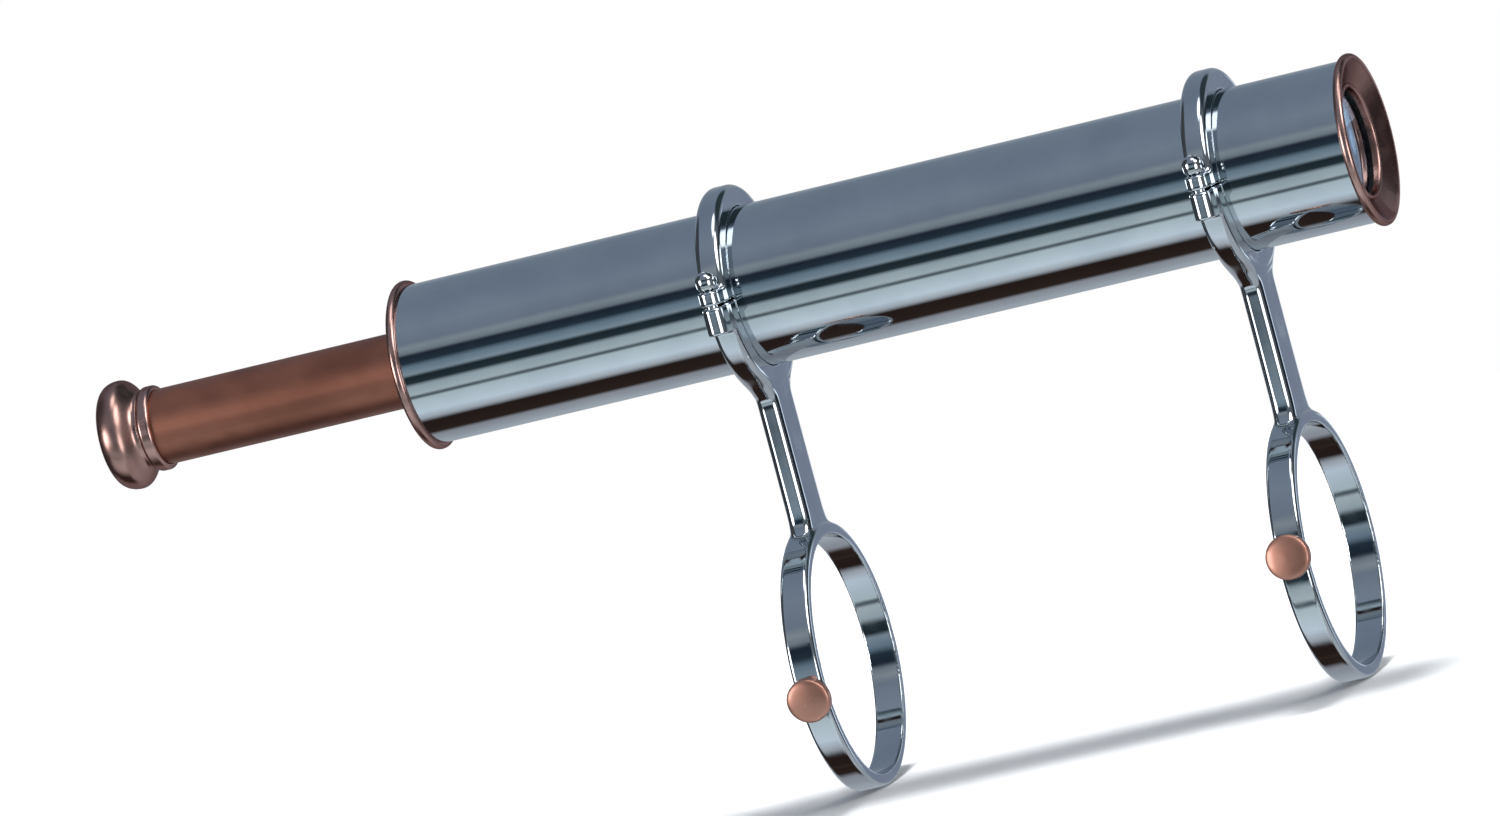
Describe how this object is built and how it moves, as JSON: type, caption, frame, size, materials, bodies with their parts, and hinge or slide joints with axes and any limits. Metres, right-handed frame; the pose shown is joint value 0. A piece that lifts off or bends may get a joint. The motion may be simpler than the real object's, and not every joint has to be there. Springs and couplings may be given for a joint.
{
  "type": "finder scope",
  "caption": "Small refracting finder telescope with a sliding draw-tube eyepiece, held in split rings on cast stems whose bands clamp round a larger telescope's tube.",
  "frame": {"origin": "on the larger telescope's axis, at the middle of the rear band", "axes": "+X forwards along the larger telescope towards the finder's objective, +Z from the larger telescope up to the finder, +Y to the left, away from the band screws"},
  "size_m": [0.3162, 0.0672, 0.1453],
  "materials": {
    "chrome": "polished chrome plate",
    "screw_chrome": "polished chrome plate, worn slots",
    "satin_copper": "satin antique copper plate",
    "polished_copper": "polished antique copper plate",
    "plain_brass": "turned, unplated",
    "inner_black": "matt black paint",
    "felt": "thin dark felt",
    "lens_glass": "polished optical glass"
  },
  "bodies": {
    "brackets": {"rear_bracket": "chrome", "front_bracket": "chrome", "rear_ring_cap": "chrome", "front_ring_cap": "chrome", "rear_ring_screws": "screw_chrome", "front_ring_screws": "screw_chrome"},
    "scope": {"body_tube": "chrome", "objective_bezel": "polished_copper", "objective_cell": "inner_black", "crown_lens": "lens_glass", "flint_lens": "lens_glass", "lens_retaining_ring": "inner_black", "tube_baffle": "inner_black", "end_cap": "polished_copper", "draw_guide_sleeve": "plain_brass", "felt_liner": "felt"},
    "draw": {"draw_tube": "satin_copper", "draw_stop_bush": "plain_brass", "draw_ferrule": "polished_copper", "eyepiece_cup": "polished_copper", "eye_lens": "lens_glass", "eye_lens_retainer": "inner_black", "lens_spacer": "inner_black", "field_lens": "lens_glass", "field_stop": "inner_black", "crosshair_ring": "inner_black"},
    "rear_screw": {"rear_band_screw": "polished_copper"},
    "front_screw": {"front_band_screw": "polished_copper"}
  },
  "joints": [
    {"name": "tube_slide", "type": "slide", "parent": "brackets", "child": "scope", "axis": [1, 0, 0], "range_m": [-0.0295, 0.0772]},
    {"name": "draw_slide", "type": "slide", "parent": "scope", "child": "draw", "axis": [1, 0, 0], "range_m": [-0.0118, 0.064]},
    {"name": "rear_screw_turn", "type": "hinge", "parent": "brackets", "child": "rear_screw", "pos_m": [0, -0.03404, -0.00418], "axis": [0, -0.9925, -0.1219], "range_deg": [0, 720]},
    {"name": "front_screw_turn", "type": "hinge", "parent": "brackets", "child": "front_screw", "pos_m": [0.12, -0.03411, 0.00359], "axis": [0, -0.9945, 0.1045], "range_deg": [0, 720]}
  ]
}
